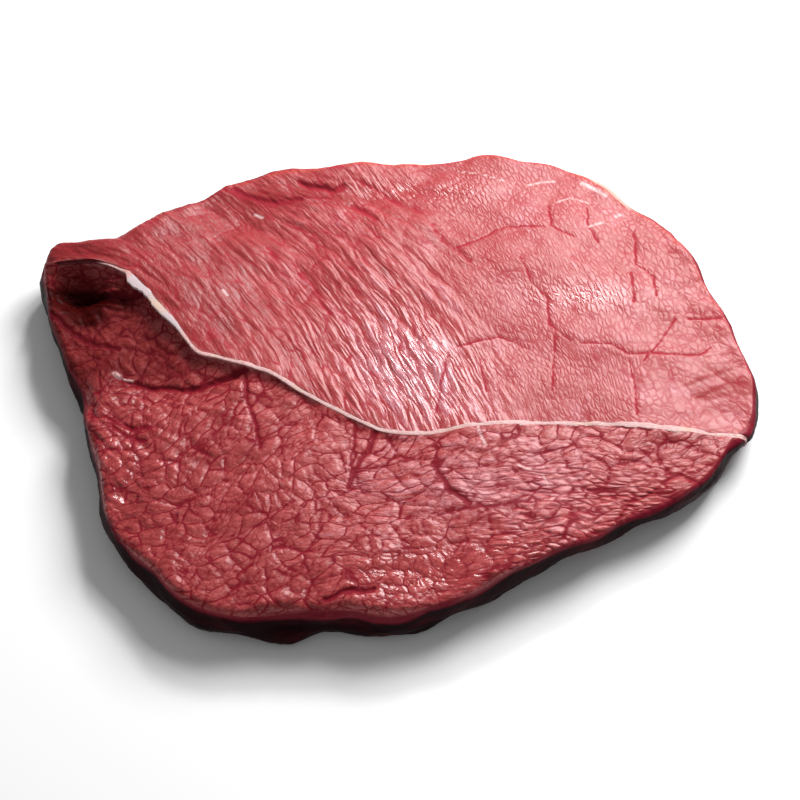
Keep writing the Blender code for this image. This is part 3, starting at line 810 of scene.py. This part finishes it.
def muscle_finish(name, reds, sizes, lines, ridges):
    """Cut muscle: wet flesh between a deep and a pale red, dull in creases, with a dark skin outside.

    Its colour has painted light: shade in the creases and lines, in the places the painted shade mask marks
    and on the skin, which is made nearly black, and sheen in the pale red.
    The sizes are the length and width of fibres, cells, wrinkles and, where the muscle is blunt, of a net.
    Lines and ridges say how dark and how high cells, wrinkles and net are.
    """
    material, shader, start = new_material(name)
    deep, flesh, pale_and_painted_light, crease_red_and_shade = [(*red, 1) for red in reds]
    crease_and_shade, lip, skin_and_shade = [start.stored(key) for key in ("crease_and_shade", "lip", "skin")]
    blunt, painted_shade, wet = [start.stored(key) for key in ("blunt", "painted_shade", "wet")]
    fibre_size, cell_size, wrinkle_size, net_size = sizes
    mottle = start.noise(start.in_units((10, 10, 10)), 3)
    grains = start.noise(start.in_units((0.7, 0.7, 0.7)), 2)
    values = {"Vector": start.in_units((5.5, 5.5, 5.5)), "Scale": 1.0, "Detail": 1.0}
    sway = start.node("ShaderNodeTexNoise", {}, values, output=1)
    fibre = start.noise(sway.by_fibre(*fibre_size, 1.2), 2)
    wisps = start.noise(sway.by_fibre(fibre_size[0] * 2.2, fibre_size[1] * 2.6, 2.0), 2)
    cells = start.cracks(sway.by_fibre(*cell_size, 1.6))
    wrinkles = start.cracks(sway.by_fibre(*wrinkle_size, 1.0))
    net = start.cracks(sway.by_fibre(*net_size, 1.3))
    presence = start.noise(start.in_units((5, 5, 5)), 2).between(0.36, 0.64)
    sharp = 1 - blunt
    # Lines, creases and drawn cracks take the crease red: partly the tissue's own colour, partly painted
    # shade
    line = lines[0] * (1 - cells.between(0.01, 0.08)) * (0.3 + 0.7 * presence) * (1 - 0.9 * blunt)
    line = line + lines[1] * (1 - wrinkles.between(0.02, 0.13)) * (1 - 0.8 * presence) * sharp
    line = line + lines[2] * (1 - net.between(0.01, 0.20)) * blunt * (0.5 + 0.5 * presence)
    line = line + crease_and_shade.between(0.05, 0.75)
    line = line + start.stored("mark").between(0.72, 0.84) * (0.6 + 0.4 * presence)
    line = line.node("ShaderNodeClamp", {}, {"Value": line}) * (1 - lip)
    # The tone carries painted sheen and shade from the mesh, and the pale red stands in partly for sheen
    tone = 0.39 + 0.07 * start.stored("streak") * (1 - 0.8 * blunt) + start.stored("pale_and_painted_light")
    tone = tone + (0.40 - 0.15 * blunt) * (mottle - 0.5) + 0.45 * (grains - 0.5)
    tone = tone + (0.45 - 0.3 * blunt) * (fibre - 0.5) + (0.6 - 0.15 * blunt) * (wisps - 0.5)
    tone = tone + 0.14 * (start.stored("bundle") - 0.5)
    colour = tone.between(0.0, 0.50).mix(deep, flesh)
    colour = tone.between(0.42, 0.90).mix(colour, pale_and_painted_light)
    colour = (start.stored("warm") * mottle.between(0.3, 0.6) * 0.6).mix(colour, (*RIM_ORANGE, 1))
    colour = (line * 0.92).mix(colour, crease_red_and_shade)
    by_seam = 1 - start.stored("away").between(0.3, 1.6)
    colour = (by_seam * wisps.between(0.35, 0.6) * 0.5).mix(colour, (*MEMBRANE_PINK, 1))
    fat = start.stored("fat").between(0.15, 0.9) * (0.35 + 0.5 * fibre.between(0.35, 0.55))
    colour = fat.mix(colour, (*MEMBRANE_WHITE, 1))
    # Painted shade: the colour is darkened by a tint where the painted shade mask is set
    multiply = {"data_type": "RGBA", "blend_type": "MULTIPLY"}
    colour = start.node("ShaderNodeMix", multiply, {0: painted_shade, 6: colour, 7: PAINTED_SHADE_TINT}, output=2)
    # The crimson lip and near-black skin: the outside is darker in itself, and also painted darker as shade
    skin_tone = start.noise(start.in_units((14, 14, 3)), 3).between(0.45, 0.8)
    shaded_skin_colour = skin_tone.mix((*SHADED_SKIN_DARK, 1), (*SHADED_SKIN_RED, 1))
    colour = (lip * 0.9).mix(colour, (*RIM_RED, 1))
    colour = skin_and_shade.between(0.1, 0.9).mix(colour, shaded_skin_colour)
    colour = (start.stored("silver") * mottle.between(0.3, 0.5) * 0.8).mix(colour, (*MEMBRANE_CREAM, 1))
    height = (0.38 - 0.25 * blunt) * fibre + (0.5 - 0.35 * blunt) * wisps + (0.15 + 0.15 * blunt) * grains
    height = height + ridges[0] * cells.between(0.0, 0.3) * sharp
    height = height + ridges[1] * wrinkles.between(0.0, 0.35) * sharp * (0.45 + 0.55 * wet)
    height = (height + ridges[2] * net.between(0.0, 0.35) * blunt) * (1 - lip)
    bump = start.node("ShaderNodeBump", {}, {"Height": height, "Distance": FLESH_BUMP * MM, "Strength": 1.0})
    rough = 0.42 - 0.28 * wet + 0.15 * (grains - 0.5)
    start.tree.links.new(colour.socket, shader.inputs["Base Color"])
    start.tree.links.new(rough.socket, shader.inputs["Roughness"])
    start.tree.links.new(bump.socket, shader.inputs["Normal"])
    shader.inputs["Specular IOR Level"].default_value = WET_SPECULAR
    values = {"Base Color": colour, "Normal": bump, "Roughness": 0.45, "Specular IOR Level": DULL_SPECULAR}
    dull = start.node("ShaderNodeBsdfPrincipled", {}, values)
    dullness = 0.85 * line + 1.4 * painted_shade + skin_and_shade.between(0.3, 0.7) + 0.7 * lip + 0.25 * (1 - wet)
    dullness = start.node("ShaderNodeClamp", {}, {"Value": dullness})
    glossy = Strand(start.tree, shader.outputs[0])
    whole = start.node("ShaderNodeMixShader", {}, {0: dullness, 1: glossy, 2: dull})
    start.tree.links.new(whole.socket, start.tree.nodes["Material Output"].inputs["Surface"])
    return material


# Its reds: deep, flesh, pale, which stands in partly for sheen, and in its creases, which is partly painted
# shade
FAR_REDS = (0.21, 0.014, 0.015), (0.35, 0.047, 0.048), (0.54, 0.235, 0.27), (0.30, 0.020, 0.034)
FAR_SIZES = (4.5, 0.8), (16.0, 3.6), (8.0, 1.7), (2.4, 1.7)
FAR_LINES = 0.85, 0.35, 0.58
FAR_RIDGES = 1.0, 0.8, 0.45
FLESH_BUMP = 0.18
WET_SPECULAR, DULL_SPECULAR = 0.5, 0.035
# The tint of the painted shade
PAINTED_SHADE_TINT = (0.13, 0.055, 0.045, 1)
# The lip's crimson: darker than the face partly in itself, partly as painted shade
RIM_RED = (0.14, 0.003, 0.015)
RIM_ORANGE = (0.44, 0.055, 0.035)
MEMBRANE_WHITE, MEMBRANE_CREAM, MEMBRANE_PINK = (0.56, 0.37, 0.36), (0.56, 0.39, 0.31), (0.46, 0.18, 0.175)
# The skin's own dark reds, made nearly black as painted shade too
SHADED_SKIN_DARK, SHADED_SKIN_RED = (0.009, 0.0010, 0.0020), (0.042, 0.002, 0.005)

far_finish = muscle_finish("far_muscle", FAR_REDS, FAR_SIZES, FAR_LINES, FAR_RIDGES)
far_muscle.data.materials.append(far_finish)
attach(far_muscle, "root")
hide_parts("beef_slice")


# The near muscle
# The smaller muscle in front of the seam lies a little lower and is a darker red. It is cut square to its
# bundles, so they show as cells between creases, with folds on the left, where it runs under the lobe. Shade
# is painted into its creases and folds, into the hollow under the lobe and onto the riser below it.
NEAR_GRID = 17, 60, 8
NEAR_SWAY = 0.9
NEAR_GRAIN = (
    (-106, 23, -64), (-108, 7, -68), (-93, 36, -6), (-82, 19, -34), (-83, -5, -29), (-67, 7, -18),
    (-50, -13, -23), (-96, -21, -50), (-81, -36, -34), (-64, -50, 0), (-23, -24, -81), (-32, -43, -12),
    (7, -36, -4), (32, -47, -9), (65, -32, -14), (92, -24, 18), (51, -58, 29), (16, -75, 12),
    (-32, -72, 23), (-6, -61, 2),
)
# Folds: the line, how wide and how deep; the depth also sets the shade painted in them
NEAR_FOLDS = (
    (((-95, 4.5), (-90, 3), (-84, 0.6), (-76, 0), (-67, 0.4), (-59, 3), (-52, 6)), 1.0, 1.0),
    (((-52, 5), (-51, -6), (-47, -15), (-46, -24)), 0.8, 0.45),
    (((-113, 40), (-104, 37.5), (-96, 37), (-88, 38)), 1.4, 1.3),
    (((-120, 31), (-112, 22), (-104, 18), (-96, 16)), 1.0, 0.7),
    (((-97, -14), (-90, -19), (-84, -21)), 0.9, 0.5),
    (((-99, -11), (-92, -15), (-85, -16)), 0.9, 0.4),
    (((-8, -17), (-11, -26), (-17, -38)), 0.9, 0.5),
    (((11, -30), (16, -40), (22, -44)), 0.9, 0.5),
    (((-24, -78), (-16, -75.5), (-9, -76)), 0.9, 0.9),
)
# Soft spots on the face: the middle, the reach each way and the turn in degrees. Three of them, over the
# hollow, the riser and the left under the lobe, say where shade is painted. The pale middle is painted
# lighter, partly as light, and the glare spots are wetter.
SMOOTH_CORNER = (-84, -56, 20, 16, -40)
LOBE_FOLDS = (-101, 41, 15, 6)
LOBE_LUMPS = (-104, 38, 18, 12)
HOLLOW_DIP = (-112, 39.5, 8, 6)
HOLLOW_SHADE = (-114, 39, 9, 6)
RISER_SHADE = (-101, 35.5, 14, 4)
LEFT_SHADE = (-108, 30, 7, 5)
PALE_MIDDLE = (30, -36, 50, 20)
FRONT_GLARE = (15, -68, 40, 10, 8)
LEFT_GLARE = (-95, -45, 22, 30)
# Its reds: deep, flesh, pale, which stands in partly for sheen, and in its creases, which is partly painted
# shade
NEAR_REDS = (0.19, 0.014, 0.015), (0.37, 0.052, 0.052), (0.54, 0.21, 0.23), (0.17, 0.007, 0.016)
NEAR_SIZES = (1.8, 0.6), (6.4, 4.6), (2.6, 1.8), (5.0, 1.9)
NEAR_LINES = 1.0, 0.60, 1.0
NEAR_RIDGES = 1.4, 0.6, 1.6


def near_relief(fibres, x, y):
    """The near muscle's cut face: its height above the plain slice, and what its material reads."""
    flat = np.column_stack([x, y, np.zeros(len(x))])
    warped_x = x + 1.0 * noise(flat, 5, 51) + 0.35 * noise(flat, 1.7, 52)
    warped_y = y + 1.0 * noise(flat, 5, 53) + 0.35 * noise(flat, 1.7, 54)
    angle = on_raster(fibres["angle"], x, y)
    blunt = smooth_step(x, 0, 45) * smooth_step(-y, 18, 40)
    left = smooth_step(-x, 55, 85)
    smooth_corner = spot(x, y, *SMOOTH_CORNER)
    size = 1 - 0.30 * blunt
    stretch = 1.25 + 0.9 * blunt + 1.3 * left
    edge, draw = bundles(warped_x, warped_y, angle, 5.6 * size * stretch, 5.0 * size, 61)
    group, _ = bundles(warped_x, warped_y, angle, 17.0, 12.0, 63)
    strength = np.clip(0.70 + 0.45 * noise(flat, 9, 55), 0.15, 1.2)
    crease_main = np.exp(-((edge / 0.42) ** 1.3)) * strength
    crease_group = np.exp(-((group / 0.6) ** 1.3)) * np.clip(0.7 + 0.5 * noise(flat, 20, 57), 0, 1)
    fold, fold_shade = folds(warped_x, warped_y, NEAR_FOLDS)
    depth = (1 + 0.5 * blunt + 0.6 * left) * (1 - 0.7 * smooth_corner)
    height = 0.09 * np.minimum(edge / 1.8, 1) ** 0.7 + 0.10 * np.minimum(group / 4, 1) ** 0.7
    height -= 0.10 * crease_main + 0.18 * crease_group
    height = height * depth + 0.05 * on_raster(fibres["broad"], x, y) * (1 + left) - fold
    wrinkle = on_raster(fibres["wrinkle"], x, y)
    wrinkled = 0.25 + 0.4 * blunt + 0.5 * left
    height += 0.02 * on_raster(fibres["fine"], x, y) + 0.085 * wrinkled * wrinkle
    height += 0.8 * spot(x, y, *LOBE_FOLDS) * np.sin(2 * math.pi * (warped_y + 0.12 * warped_x) / 3.0)
    height += 0.7 * spot(x, y, *LOBE_LUMPS) * noise(flat * (0.5, 1, 1), 3.2, 58)
    height -= 2.0 * spot(x, y, *HOLLOW_DIP)
    # Painted shade in the wrinkle valleys; the creases are darker partly in their own colour, partly as shade
    valley_shade = smooth_step(-wrinkle, 0.9, 2.0) * wrinkled
    crease_and_shade = (0.30 * crease_main + 0.6 * crease_group) * (1 - 0.6 * smooth_corner) + 0.4 * valley_shade + fold_shade
    from_lobe = -from_seam(x, y)[0]
    # Painted shade under the lobe, in the hollow at its left and on the riser below it
    under_lobe_shade = smooth_step(-x, 45, 80) * smooth_step(y, -4, 9) * (0.2 + 0.8 * smooth_step(from_lobe, 4, 9))
    hollow_shade = spot(x, y, *HOLLOW_SHADE)
    shadow = np.maximum(0.6 * spot(x, y, *RISER_SHADE), spot(x, y, *LEFT_SHADE))
    # Tone, paler in the middle and darker towards both ends: partly painted light and shade
    pale_and_painted_light = 0.26 * spot(x, y, *PALE_MIDDLE) - 0.10 * smooth_step(-x, 10, 60) - 0.08 * smooth_step(x, 75, 100)
    stored = {
        "crease_and_shade": np.clip(crease_and_shade, 0, 1),
        "mark": np.zeros(len(x)),
        "streak": 0.5 * on_raster(fibres["fine"], x, y) + 0.5 * on_raster(fibres["broad"], x, y),
        "bundle": draw,
        "blunt": blunt,
        "pale_and_painted_light": pale_and_painted_light,
        "painted_shade": np.clip(0.55 * under_lobe_shade + 0.95 * hollow_shade + 0.7 * shadow, 0, 1),
        "wet": 0.9 * np.maximum(spot(x, y, *FRONT_GLARE), spot(x, y, *LEFT_GLARE)),
    }
    return height, stored


near_muscle = add_muscle("near_muscle", -1.0, *NEAR_GRID, near_relief, NEAR_GRAIN, NEAR_SWAY)
near_finish = muscle_finish("near_muscle", NEAR_REDS, NEAR_SIZES, NEAR_LINES, NEAR_RIDGES)
near_muscle.data.materials.append(near_finish)
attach(near_muscle, "root")
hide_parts("beef_slice")


# The seam membrane
# Between the muscles runs a sheet of tough white tissue that binds them. It shows as a line on the cut face,
# as a band where the far muscle stands higher, and it goes on down both ends and across the lower face.
MEMBRANE_PACE = 0.5
MEMBRANE_SECTION = 14
# How proud of the face it stands, how deep it reaches, and how far at most over the far muscle
MEMBRANE_PROUD = 0.04
MEMBRANE_DEPTH = 1.0
MEMBRANE_REACH = 0.95
# How white and how wide the membrane is by the place along the seam: red flesh closes over it at the lobe
WHITE_PLACES = (-125, -106, -102, -95, -92, -84, -76, -71, -60, -40, 100, 118)
WHITE_SHARES = (0.0, 0.0, 0.3, 0.45, 1.0, 1.0, 1.0, 0.6, 0.7, 0.8, 0.75, 0.5)
MEMBRANE_WIDTHS = (1.4, 1.4, 0.8, 1.0, 3.8, 3.2, 2.0, 1.2, 1.3, 1.6, 2.1, 1.6)
MEMBRANE_BAND = (0.50, 0.40, 0.415)
MEMBRANE_RED = (0.09, 0.004, 0.009)
MEMBRANE_BUMP = 0.12


def membrane_loop():
    """The loop round the slice along the seam: its places and the way out of the slice at each."""
    middle = seam_path(0)
    left_turn, right_turn = end_turn(middle, False), end_turn(middle, True)
    start, end = at_turn(spine, left_turn), at_turn(spine, right_turn)
    inside = middle[(middle[:, 0] > start[0]) & (middle[:, 0] < end[0])]
    top = np.column_stack([inside, face_heights(inside + (0, 0.02), 1.0)])
    bottom = np.column_stack([inside, np.zeros(len(inside))])[::-1]
    fan = np.array(wall_fan())
    sides = []
    for turn in (right_turn, left_turn):
        ways = np.column_stack([fan[:, :1] * at_turn(square, turn), fan[:, 1]])
        sides.append((wall_places(np.array([turn]))[:, 0], ways))
    straight_up = np.array([0.0, 0.0, 1.0])
    loop = np.vstack([top, sides[0][0], bottom, sides[1][0][::-1]])
    out = np.vstack([top * 0 + straight_up, sides[0][1], bottom * 0 - straight_up, sides[1][1][::-1]])
    out /= np.linalg.norm(out, axis=1, keepdims=True)
    loop, out = np.vstack([loop, loop[:1]]), np.vstack([out, out[:1]])
    along = np.concatenate([[0], np.cumsum(np.linalg.norm(np.diff(loop, axis=0), axis=1))])
    at = np.linspace(0, along[-1], round(along[-1] / MEMBRANE_PACE), endpoint=False)
    places = np.column_stack([np.interp(at, along, loop[:, i]) for i in range(3)])
    out = ring_mean(np.column_stack([np.interp(at, along, out[:, i]) for i in range(3)]), 2)
    return ring_mean(places, 2), out / np.linalg.norm(out, axis=1, keepdims=True)


def add_membrane():
    """The membrane as a closed band round the slice, flat on its sides and rounded on top."""
    places, out = membrane_loop()
    x = places[:, 0] - ZERO[0]
    run = np.roll(places, -2, 0) - np.roll(places, 2, 0)
    across = ring_mean(np.cross(out, run), 2)
    across /= np.linalg.norm(across, axis=1, keepdims=True)
    top = smooth_step(out[:, 2], 0.5, 0.9)
    white = np.interp(x, WHITE_PLACES, WHITE_SHARES) * (0.5 + 0.5 * top)
    uneven = noise(places, 5, 91)
    fine_uneven = noise(places, 1.4, 92)
    width = np.interp(x, WHITE_PLACES, MEMBRANE_WIDTHS) * top + 1.4 * (1 - top)
    width *= 1 + 0.18 * uneven + 0.14 * fine_uneven
    shift = np.minimum(0, MEMBRANE_REACH - width / 2) * top
    shown = np.minimum(white * 2, 1)
    proud = MEMBRANE_PROUD * (1 + 0.5 * uneven) * shown - 0.8 * (1 - shown)
    depth = MEMBRANE_DEPTH + white_band(x) * top
    rings = []
    for step in range(MEMBRANE_SECTION):
        angle = 2 * math.pi * step / MEMBRANE_SECTION
        sideways = abs(math.cos(angle)) ** 0.5 * math.copysign(1, math.cos(angle))
        upward = abs(math.sin(angle)) ** 0.7 * math.copysign(1, math.sin(angle))
        rise = np.where(upward > 0, upward * (proud + 0.2) - 0.2, upward * depth - 0.2)
        rings.append(places + across * (shift + width / 2 * sideways)[:, None] + out * rise[:, None])
    corners = np.stack(rings, 1)
    corners[..., 2] = np.maximum(corners[..., 2], 0)
    count = len(places)
    number = np.arange(count * MEMBRANE_SECTION).reshape(count, MEMBRANE_SECTION)
    ahead, beside = np.roll(number, -1, 0), np.roll(number, -1, 1)
    both = np.roll(ahead, -1, 1)
    faces = np.stack([number, beside, both, ahead], -1).reshape(-1, 4)[:, ::-1]
    mesh = bpy.data.meshes.new("seam_membrane")
    mesh.from_pydata((corners.reshape(-1, 3) * MM).tolist(), [], faces.tolist())
    mesh.shade_smooth()
    shares = np.repeat(white, MEMBRANE_SECTION).astype(np.float32)
    mesh.attributes.new("white", "FLOAT", "POINT").data.foreach_set("value", shares)
    membrane = bpy.data.objects.new("seam_membrane", mesh)
    bpy.context.scene.collection.objects.link(membrane)
    return membrane


def membrane_finish():
    """Wet white tissue with cream and pink parts, and red where flesh closes over it."""
    material, shader, start = new_material("seam_membrane")
    patches = start.noise(start.in_units((7, 7, 7)), 2)
    fine = start.noise(start.in_units((1.2, 0.5, 0.5)), 2)
    white = start.stored("white")
    colour = patches.between(0.50, 0.75).mix((*MEMBRANE_WHITE, 1), (*MEMBRANE_CREAM, 1))
    colour = (fine.between(0.38, 0.66) * (1.3 - white)).mix(colour, (*MEMBRANE_PINK, 1))
    band = patches.between(0.50, 0.62).mix((*MEMBRANE_BAND, 1), (*MEMBRANE_CREAM, 1))
    colour = white.between(0.82, 0.95).mix(colour, band)
    colour = white.between(0.0, 0.5).mix((*MEMBRANE_RED, 1), colour)
    start.tree.links.new(colour.socket, shader.inputs["Base Color"])
    bump = start.node("ShaderNodeBump", {}, {"Height": fine, "Distance": MEMBRANE_BUMP * MM, "Strength": 1.0})
    start.tree.links.new(bump.socket, shader.inputs["Normal"])
    shader.inputs["Roughness"].default_value = 0.55
    shader.inputs["Specular IOR Level"].default_value = 0.3
    return material


seam_membrane = add_membrane()
seam_membrane.data.materials.append(membrane_finish())
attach(seam_membrane, "root")
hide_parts("beef_slice")


# The floor and the light
# The slice lies on a plain white table. One large soft light stands behind it on its right, a small one adds
# the glints on the wet flesh, and the room fills the shadows weakly.
FLOOR_SIZE = 4000
FLOOR_WHITE = (0.86, 0.86, 0.86)
WINDOW_PLACE, WINDOW_SIZE, WINDOW_POWER = (350, 430, 520), 380, 8.8
GLINT_PLACE, GLINT_SIZE, GLINT_POWER = (150, 640, 560), 110, 3.0
ROOM_LIGHT = 0.32


def add_floor():
    half = FLOOR_SIZE / 2 * MM
    corners = [(-half, -half, 0), (half, -half, 0), (half, half, 0), (-half, half, 0)]
    mesh = bpy.data.meshes.new("floor")
    mesh.from_pydata(corners, [], [(0, 1, 2, 3)])
    material, shader, _ = new_material("floor")
    shader.inputs["Base Color"].default_value = (*FLOOR_WHITE, 1)
    shader.inputs["Roughness"].default_value = 0.9
    shader.inputs["Specular IOR Level"].default_value = 0.1
    mesh.materials.append(material)
    floor = bpy.data.objects.new("floor", mesh)
    bpy.context.scene.collection.objects.link(floor)


def add_light(name, place, size, power):
    """A square soft light at a place in mm that shines on the slice."""
    data = bpy.data.lights.new(name, "AREA")
    data.size = size * MM
    data.energy = power
    light = bpy.data.objects.new(name, data)
    light.location = Vector(place) * MM
    light.rotation_euler = (Vector((0, 0, 0)) - Vector(place)).to_track_quat("-Z", "Y").to_euler()
    bpy.context.scene.collection.objects.link(light)


add_floor()
add_light("window", WINDOW_PLACE, WINDOW_SIZE, WINDOW_POWER)
add_light("glint", GLINT_PLACE, GLINT_SIZE, GLINT_POWER)
world = bpy.data.worlds.new("room")
world.use_nodes = True
world.node_tree.nodes["Background"].inputs["Color"].default_value = (1, 1, 1, 1)
world.node_tree.nodes["Background"].inputs["Strength"].default_value = ROOM_LIGHT
bpy.context.scene.world = world
bpy.context.scene.view_settings.view_transform = "Standard"
